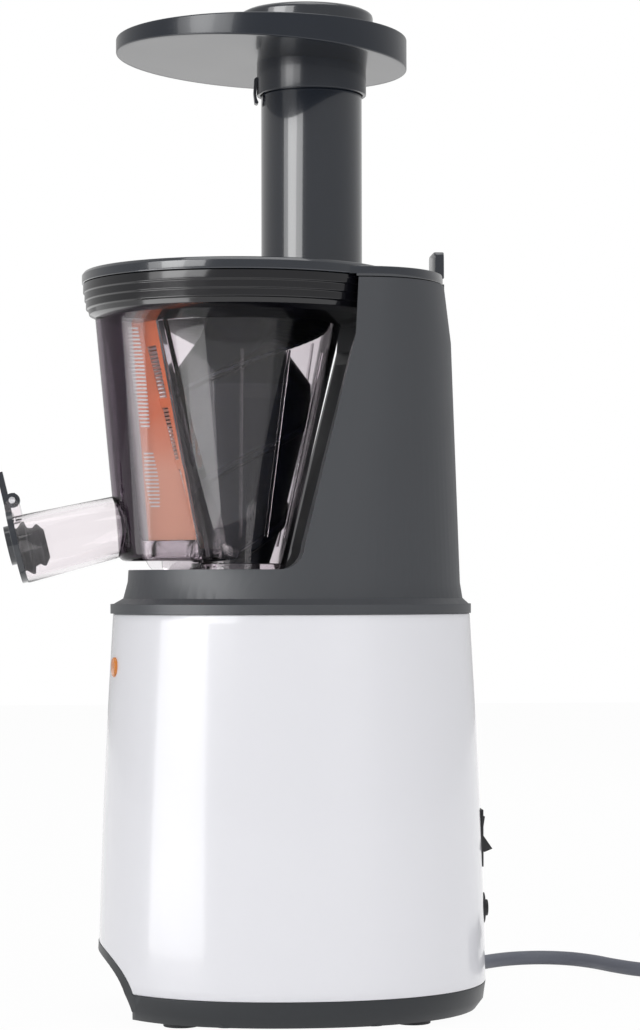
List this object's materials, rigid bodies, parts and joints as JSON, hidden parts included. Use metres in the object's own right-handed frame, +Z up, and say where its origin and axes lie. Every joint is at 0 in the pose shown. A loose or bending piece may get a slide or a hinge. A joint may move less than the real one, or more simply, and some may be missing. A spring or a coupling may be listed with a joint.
{
  "type": "cold press juicer",
  "caption": "Upright slow juicer: oval motor base with a rear tower, clear bowl with auger and filter, capped spout, lid with feed tube, food tray and pusher.",
  "frame": {"origin": "middle of the appliance's plan box on the table, without its cord", "axes": "+Z up, the juice spout towards -Y, the pulp outlet towards -X"},
  "size_m": [0.2448, 0.3977, 0.4294],
  "materials": {
    "white_shell": "glossy moulded plastic",
    "slate_plastic": "satin moulded plastic",
    "tower_plastic": "fine satin moulded plastic",
    "base_plastic": "satin moulded plastic",
    "pusher_plastic": "satin moulded plastic",
    "smoky_clear": "clear smoke-tinted moulded plastic",
    "orange_plastic": "satin moulded plastic",
    "badge_orange": "glossy inlay",
    "auger_plastic": "dense moulded plastic",
    "steel": "turned steel",
    "filter_steel": "perforated steel sheet",
    "castings": "die cast",
    "motor_iron": "varnished laminations",
    "copper": "enamelled copper wire",
    "bronze": "sintered bronze",
    "gear_plastic": "moulded gear plastic",
    "black_plastic": "black moulded plastic",
    "board": "laminated board with its components",
    "grey_rubber": "moulded rubber",
    "clear_seal": "moulded silicone",
    "cord_grey": "smooth cord sheath"
  },
  "bodies": {
    "power_unit": {"base_moulding": "base_plastic", "body_shell": "white_shell", "upper_housing": "tower_plastic", "rubber_feet": "grey_rubber", "base_screws": "steel", "front_badge": "badge_orange", "motor_stator": "motor_iron", "motor_windings": "copper", "motor_brackets": "castings", "motor_bearings": "bronze", "gearbox_case": "castings", "gearbox_cover": "castings", "gearbox_screws": "steel", "intermediate_pin": "steel", "shaft_bush": "bronze", "shaft_seal": "grey_rubber", "control_board": "board", "lid_sensor": "board", "switch_housing": "black_plastic", "reset_housing": "black_plastic", "reset_spring": "steel", "cord_gland": "grey_rubber", "cord_lead": "cord_grey", "cord_coil": "cord_grey", "cord_tie": "black_plastic", "mains_plug": "black_plastic"},
    "output_drive": {"drive_shaft": "steel", "output_gear": "gear_plastic"},
    "intermediate": {"intermediate_gear": "gear_plastic"},
    "motor_spindle": {"motor_shaft": "steel", "motor_rotor": "motor_iron", "cooling_fan": "black_plastic", "motor_pinion": "steel"},
    "rocker": {"power_rocker": "black_plastic"},
    "reset": {"reset_button": "black_plastic"},
    "bowl": {"juice_bowl": "smoky_clear", "bowl_seal": "clear_seal", "filter_frame": "orange_plastic", "filter_mesh": "filter_steel", "cap_hinge_pin": "steel"},
    "auger": {"auger": "auger_plastic", "auger_socket": "steel"},
    "spout_cap": {"juice_cap": "slate_plastic", "juice_stopper": "grey_rubber"},
    "lid": {"juicer_lid": "slate_plastic", "lid_gasket": "grey_rubber", "lid_magnet": "castings"},
    "tray": {"food_tray": "slate_plastic"},
    "pusher": {"pusher_cap": "slate_plastic", "pusher_stem": "pusher_plastic"}
  },
  "joints": [
    {"name": "bowl_lift", "type": "slide", "parent": "power_unit", "child": "bowl", "axis": [0, 0, 1], "range_m": [0, 0.15]},
    {"name": "lid_lift", "type": "slide", "parent": "bowl", "child": "lid", "axis": [0, 0, 1], "range_m": [0, 0.06]},
    {"name": "tray_lift", "type": "slide", "parent": "lid", "child": "tray", "axis": [0, 0, 1], "range_m": [0, 0.04]},
    {"name": "pusher_lift", "type": "slide", "parent": "tray", "child": "pusher", "axis": [0, 0, 1], "range_m": [0, 0.11]},
    {"name": "auger_spin", "type": "hinge", "parent": "bowl", "child": "auger", "pos_m": [0, -0.0045, 0.1907], "axis": [0, 0, 1], "continuous": true},
    {"name": "output_spin", "type": "hinge", "parent": "power_unit", "child": "output_drive", "pos_m": [0, -0.0045, 0.14], "axis": [0, 0, 1], "continuous": true},
    {"name": "intermediate_spin", "type": "hinge", "parent": "power_unit", "child": "intermediate", "pos_m": [-0.02216, 0.02387, 0.128], "axis": [0, 0, 1], "continuous": true},
    {"name": "motor_spin", "type": "hinge", "parent": "power_unit", "child": "motor_spindle", "pos_m": [-0.00443, 0.04656, 0.08], "axis": [0, 0, 1], "continuous": true},
    {"name": "spout_cap_hinge", "type": "hinge", "parent": "bowl", "child": "spout_cap", "pos_m": [0, -0.10099, 0.21778], "axis": [-1, 0, 0], "range_deg": [0, 100]},
    {"name": "power_rocker_tilt", "type": "hinge", "parent": "power_unit", "child": "rocker", "pos_m": [0, 0.09358, 0.073], "axis": [-1, 0, 0], "range_deg": [0, 26]},
    {"name": "reset_press", "type": "slide", "parent": "power_unit", "child": "reset", "axis": [0, -1, 0], "range_m": [0, 0.002], "stiffness_N_per_m": 200, "springref_m": -0.002, "deforming": ["reset_spring"]}
  ],
  "couplings": [
    {"joint": "output_spin", "follows": "auger_spin", "ratio": 1},
    {"joint": "intermediate_spin", "follows": "auger_spin", "ratio": -5},
    {"joint": "motor_spin", "follows": "auger_spin", "ratio": 25}
  ]
}
